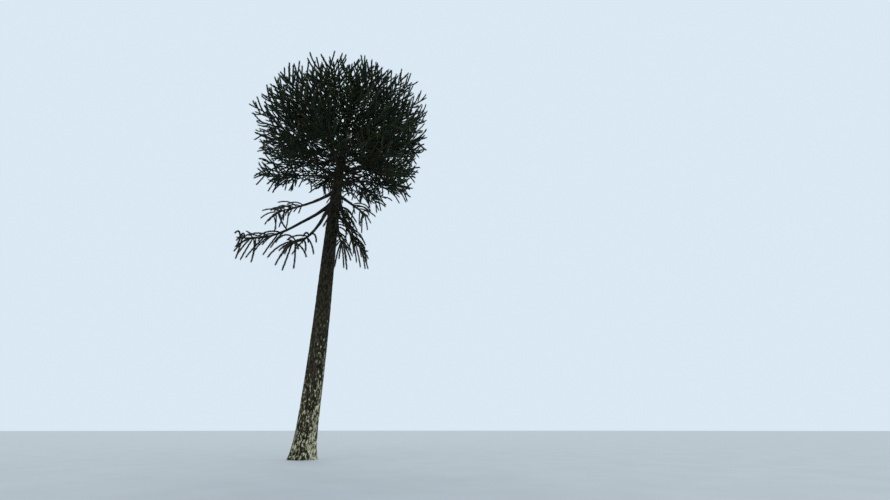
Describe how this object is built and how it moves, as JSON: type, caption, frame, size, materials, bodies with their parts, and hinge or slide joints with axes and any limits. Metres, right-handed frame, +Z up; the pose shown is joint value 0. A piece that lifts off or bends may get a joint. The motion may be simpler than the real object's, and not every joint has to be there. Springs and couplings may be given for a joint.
{
  "type": "monkey puzzle tree",
  "caption": "Tall monkey puzzle tree: a straight bare trunk with a root flare under a broad domed crown of rope-like upswept branches, with old boughs drooping below it.",
  "frame": {"origin": "centre of the flat cut under the trunk, at ground level", "axes": "+Z up the trunk; -Y is the side seen in the picture, turned 17.55 degrees towards +X"},
  "size_m": [9.96, 10.4217, 20.3965],
  "materials": {
    "trunk_bark": "rough dark grey-brown bark in small plates, with leaf-scar rings and pale grey-green lichen",
    "bough_bark": "dark brown scaly bark",
    "foliage": "very dark green, leathery overlapping scale leaves with a dull waxy sheen",
    "old_foliage": "olive and grey-brown ageing scale leaves, dull"
  },
  "bodies": {
    "root": {"trunk": "trunk_bark", "old_bough_1": "bough_bark", "old_foliage_1": "old_foliage", "old_bough_2": "bough_bark", "old_foliage_2": "old_foliage", "old_bough_3": "bough_bark", "old_foliage_3": "old_foliage", "old_bough_4": "bough_bark", "old_foliage_4": "old_foliage", "old_bough_5": "bough_bark", "old_foliage_5": "old_foliage", "old_bough_6": "bough_bark", "old_foliage_6": "old_foliage", "old_bough_7": "bough_bark", "old_foliage_7": "old_foliage", "low_bough_1": "bough_bark", "low_foliage_1": "foliage", "low_bough_2": "bough_bark", "low_foliage_2": "foliage", "low_bough_3": "bough_bark", "low_foliage_3": "foliage", "low_bough_4": "bough_bark", "low_foliage_4": "foliage", "low_bough_5": "bough_bark", "low_foliage_5": "foliage", "low_bough_6": "bough_bark", "low_foliage_6": "foliage", "low_bough_7": "bough_bark", "low_foliage_7": "foliage", "low_bough_8": "bough_bark", "low_foliage_8": "foliage", "middle_foliage_1": "foliage", "middle_foliage_2": "foliage", "middle_foliage_3": "foliage", "middle_foliage_4": "foliage", "middle_foliage_5": "foliage", "middle_foliage_6": "foliage", "middle_foliage_7": "foliage", "middle_foliage_8": "foliage", "upper_foliage_1": "foliage", "upper_foliage_2": "foliage", "upper_foliage_3": "foliage", "upper_foliage_4": "foliage", "upper_foliage_5": "foliage", "upper_foliage_6": "foliage", "upper_foliage_7": "foliage", "high_foliage_1": "foliage", "high_foliage_2": "foliage", "high_foliage_3": "foliage", "high_foliage_4": "foliage", "high_foliage_5": "foliage", "high_foliage_6": "foliage", "high_foliage_7": "foliage", "crest_foliage_1": "foliage", "crest_foliage_2": "foliage", "crest_foliage_3": "foliage", "crest_foliage_4": "foliage", "crest_foliage_5": "foliage", "leader_foliage": "foliage"}
  },
  "joints": []
}
